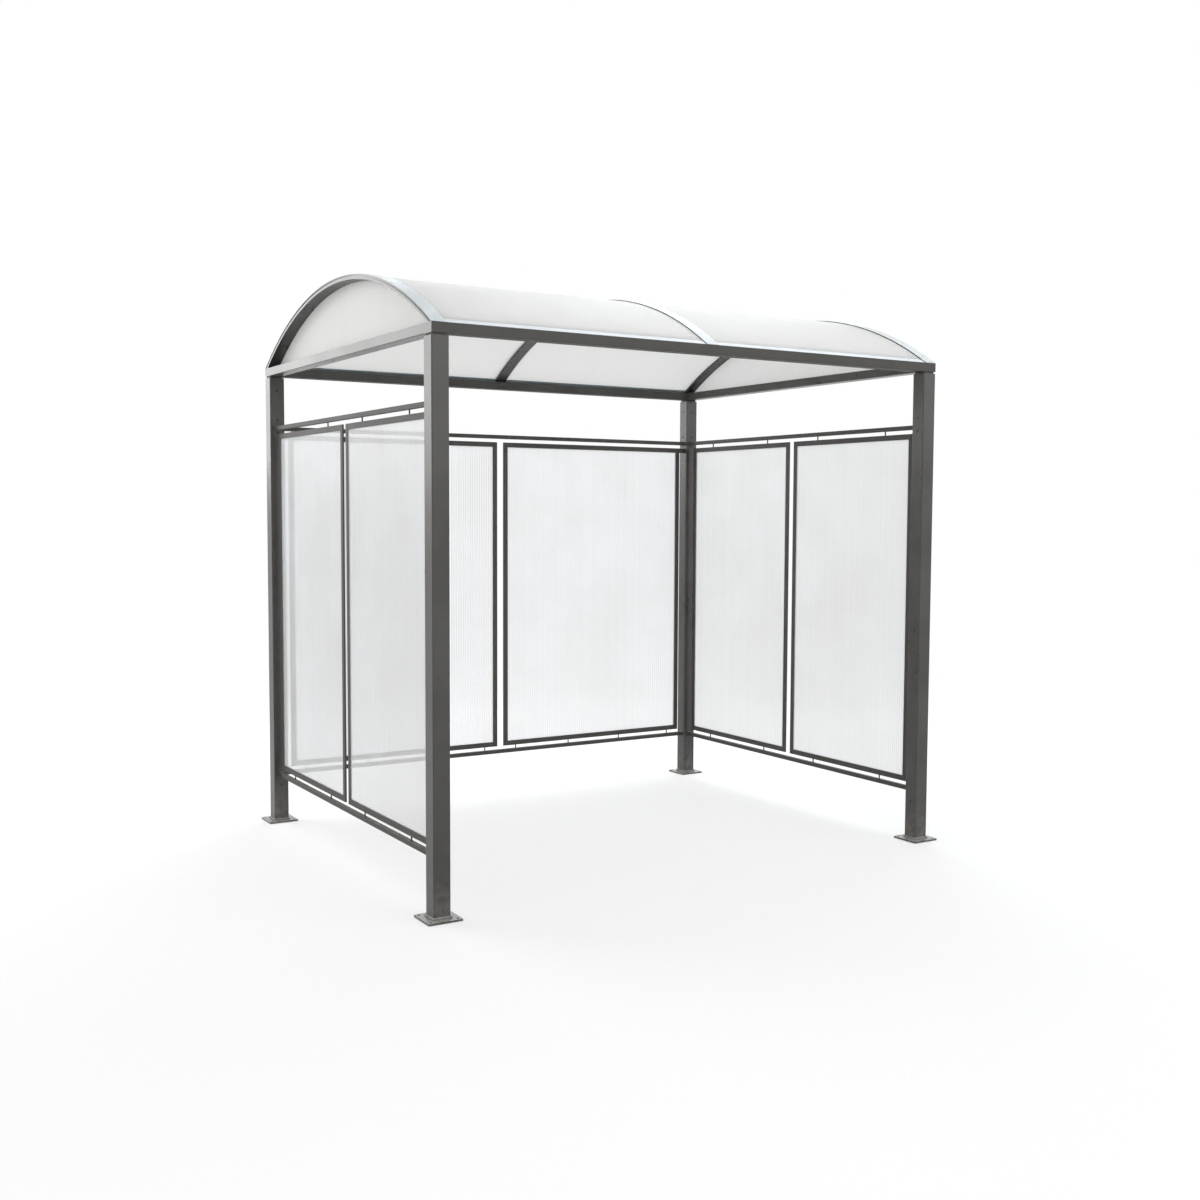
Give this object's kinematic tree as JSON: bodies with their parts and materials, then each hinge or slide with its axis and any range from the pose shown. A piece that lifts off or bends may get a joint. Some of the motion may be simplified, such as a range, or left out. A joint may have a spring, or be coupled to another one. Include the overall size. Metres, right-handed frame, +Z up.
{
  "type": "bike shelter",
  "caption": "Open-fronted bicycle shelter with square posts on bolted plates, a vaulted opal sheet roof with closed gables and framed translucent side and back walls.",
  "frame": {"origin": "on the ground, at the middle of the four posts", "axes": "+X along the open front, left to right seen from the front, +Y from the open front to the back wall, +Z up"},
  "size_m": [2.57, 2.01, 2.4898],
  "materials": {
    "frame_paint": "semi-gloss warm grey powder coat",
    "roof_sheet": "opal twin-wall sheet",
    "wall_sheet": "clear twin-wall sheet with upright flutes",
    "edge_strip": "mill"
  },
  "bodies": {
    "root": {"back_beam": "frame_paint", "back_eave_strip": "edge_strip", "back_left_base_plate": "frame_paint", "back_left_post": "frame_paint", "back_right_base_plate": "frame_paint", "back_right_post": "frame_paint", "back_wall_bottom_rail": "frame_paint", "back_wall_left_frame": "frame_paint", "back_wall_left_sheet": "wall_sheet", "back_wall_right_frame": "frame_paint", "back_wall_right_sheet": "wall_sheet", "back_wall_tabs": "frame_paint", "back_wall_top_rail": "frame_paint", "beam_end_caps": "frame_paint", "front_beam": "frame_paint", "front_eave_strip": "edge_strip", "front_left_base_plate": "frame_paint", "front_left_post": "frame_paint", "front_right_base_plate": "frame_paint", "front_right_post": "frame_paint", "head_plates": "frame_paint", "left_arch": "frame_paint", "left_beam": "frame_paint", "left_gable_sheet": "roof_sheet", "left_roof_sheet": "roof_sheet", "left_wall_back_frame": "frame_paint", "left_wall_back_sheet": "wall_sheet", "left_wall_bottom_rail": "frame_paint", "left_wall_front_frame": "frame_paint", "left_wall_front_sheet": "wall_sheet", "left_wall_tabs": "frame_paint", "left_wall_top_rail": "frame_paint", "middle_arch": "frame_paint", "right_arch": "frame_paint", "right_beam": "frame_paint", "right_gable_sheet": "roof_sheet", "right_roof_sheet": "roof_sheet", "right_wall_back_frame": "frame_paint", "right_wall_back_sheet": "wall_sheet", "right_wall_bottom_rail": "frame_paint", "right_wall_front_frame": "frame_paint", "right_wall_front_sheet": "wall_sheet", "right_wall_tabs": "frame_paint", "right_wall_top_rail": "frame_paint"}
  },
  "joints": []
}
